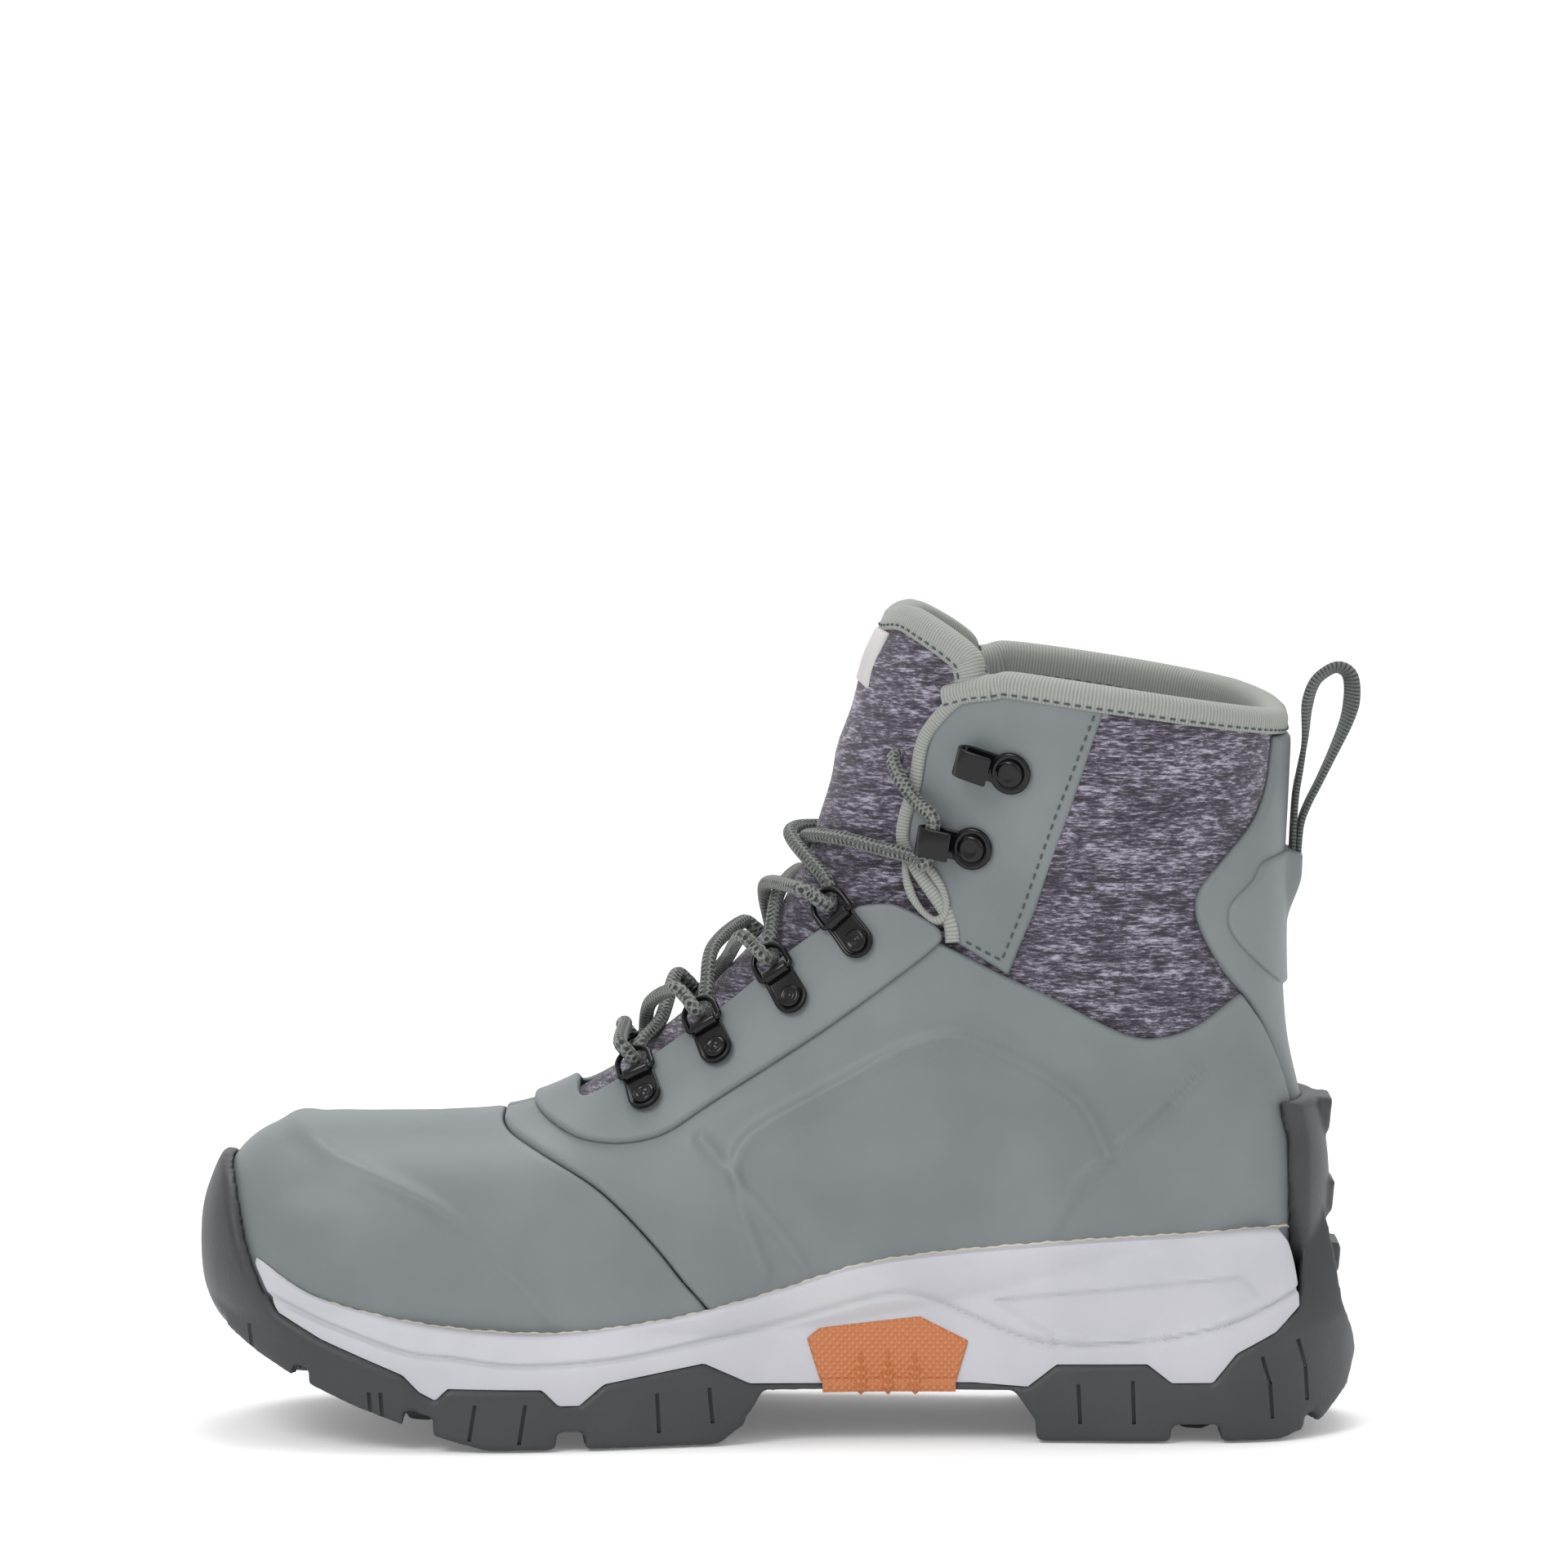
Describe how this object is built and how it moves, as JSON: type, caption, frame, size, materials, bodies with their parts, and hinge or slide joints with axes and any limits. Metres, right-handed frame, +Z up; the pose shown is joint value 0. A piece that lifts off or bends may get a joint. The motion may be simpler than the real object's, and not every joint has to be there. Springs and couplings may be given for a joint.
{
  "type": "hiking boot",
  "caption": "Mid-cut hiking boot: knit bootie in a moulded rubber cage, lugged sole with toe and heel bumpers, ring and hook lacing, heel pull loop",
  "frame": {"origin": "on the ground below the middle of the outsole's box", "axes": "+X from toe to heel, -Y to the inner side of the foot, +Z up"},
  "size_m": [0.3048, 0.1104, 0.218],
  "materials": {
    "outsole_rubber": "charcoal moulded rubber, fine matte texture",
    "midsole_foam": "light grey moulded foam with a soft sheen",
    "arch_tpu": "orange moulded plastic with a knurled face",
    "shank_nylon": "filled nylon plate",
    "board_fibre": "pressed fibre board",
    "insole_foam": "foam footbed with a cloth top",
    "knit": "space-dyed knit in aubergine and lavender grey over foam",
    "lining_mesh": "spacer mesh",
    "stiffener": "thermoplastic stiffener sheet",
    "cage_rubber": "grey-green matte moulded rubber",
    "dark_rubber": "dark grey matte rubber",
    "binding_tape": "ribbed grey-green binding tape with darker stitches",
    "webbing": "woven webbing in dark and mid grey",
    "black_metal": "gloss black plated steel",
    "lace_cord": "round braided lace, grey-green with black flecks",
    "tip_plastic": "dark plastic lace tip"
  },
  "bodies": {
    "boot": {"outsole": "outsole_rubber", "midsole": "midsole_foam", "arch_stabiliser": "arch_tpu", "shank": "shank_nylon", "lasting_board": "board_fibre", "insole": "insole_foam", "bootie": "knit", "lining": "lining_mesh", "toe_puff": "stiffener", "heel_counter": "stiffener", "toe_vamp": "cage_rubber", "quarter_medial": "cage_rubber", "quarter_lateral": "cage_rubber", "eyestay": "cage_rubber", "flap_medial": "cage_rubber", "flap_lateral": "cage_rubber", "flap_binding_medial": "binding_tape", "flap_binding_lateral": "binding_tape", "heel_stay": "cage_rubber", "heel_tab": "cage_rubber", "loop_anchor": "webbing", "tongue": "knit", "tongue_binding": "binding_tape", "tongue_patch": "dark_rubber", "collar_binding": "binding_tape", "ring_straps": "black_metal", "strap_rivets": "black_metal", "speed_hooks": "black_metal", "hook_rivets": "black_metal", "lace": "lace_cord", "lace_tips": "tip_plastic"},
    "pull_loop": {"pull_loop": "webbing"},
    "ring_medial_1": {"ring_medial_1": "black_metal"},
    "ring_medial_2": {"ring_medial_2": "black_metal"},
    "ring_medial_3": {"ring_medial_3": "black_metal"},
    "ring_medial_4": {"ring_medial_4": "black_metal"},
    "ring_lateral_1": {"ring_lateral_1": "black_metal"},
    "ring_lateral_2": {"ring_lateral_2": "black_metal"},
    "ring_lateral_3": {"ring_lateral_3": "black_metal"},
    "ring_lateral_4": {"ring_lateral_4": "black_metal"}
  },
  "joints": [
    {"name": "pull_loop_swing", "type": "hinge", "parent": "boot", "child": "pull_loop", "pos_m": [0.136, 0, 0.1585], "axis": [0, 1, 0], "range_deg": [0, 50]},
    {"name": "ring_medial_1_swing", "type": "hinge", "parent": "boot", "child": "ring_medial_1", "pos_m": [-0.03762, -0.02225, 0.09516], "axis": [-0.8977, 0.0736, -0.4344], "range_deg": [-3, 3]},
    {"name": "ring_medial_2_swing", "type": "hinge", "parent": "boot", "child": "ring_medial_2", "pos_m": [-0.01987, -0.02146, 0.10752], "axis": [-0.8501, 0.0945, -0.518], "range_deg": [-3, 3]},
    {"name": "ring_medial_3_swing", "type": "hinge", "parent": "boot", "child": "ring_medial_3", "pos_m": [-0.00116, -0.02231, 0.12114], "axis": [-0.8129, 0.0907, -0.5753], "range_deg": [-3, 3]},
    {"name": "ring_medial_4_swing", "type": "hinge", "parent": "boot", "child": "ring_medial_4", "pos_m": [0.0149, -0.02516, 0.13581], "axis": [-0.7254, 0.1488, -0.6721], "range_deg": [-3, 3]},
    {"name": "ring_lateral_1_swing", "type": "hinge", "parent": "boot", "child": "ring_lateral_1", "pos_m": [-0.03766, 0.02486, 0.09539], "axis": [0.8984, 0.0637, 0.4346], "range_deg": [-3, 3]},
    {"name": "ring_lateral_2_swing", "type": "hinge", "parent": "boot", "child": "ring_lateral_2", "pos_m": [-0.01993, 0.02348, 0.10775], "axis": [0.8515, 0.083, 0.5178], "range_deg": [-3, 3]},
    {"name": "ring_lateral_3_swing", "type": "hinge", "parent": "boot", "child": "ring_lateral_3", "pos_m": [-0.00118, 0.0238, 0.12136], "axis": [0.8182, 0.0741, 0.5701], "range_deg": [-3, 3]},
    {"name": "ring_lateral_4_swing", "type": "hinge", "parent": "boot", "child": "ring_lateral_4", "pos_m": [0.01494, 0.02625, 0.136], "axis": [0.734, 0.125, 0.6676], "range_deg": [-3, 3]}
  ]
}
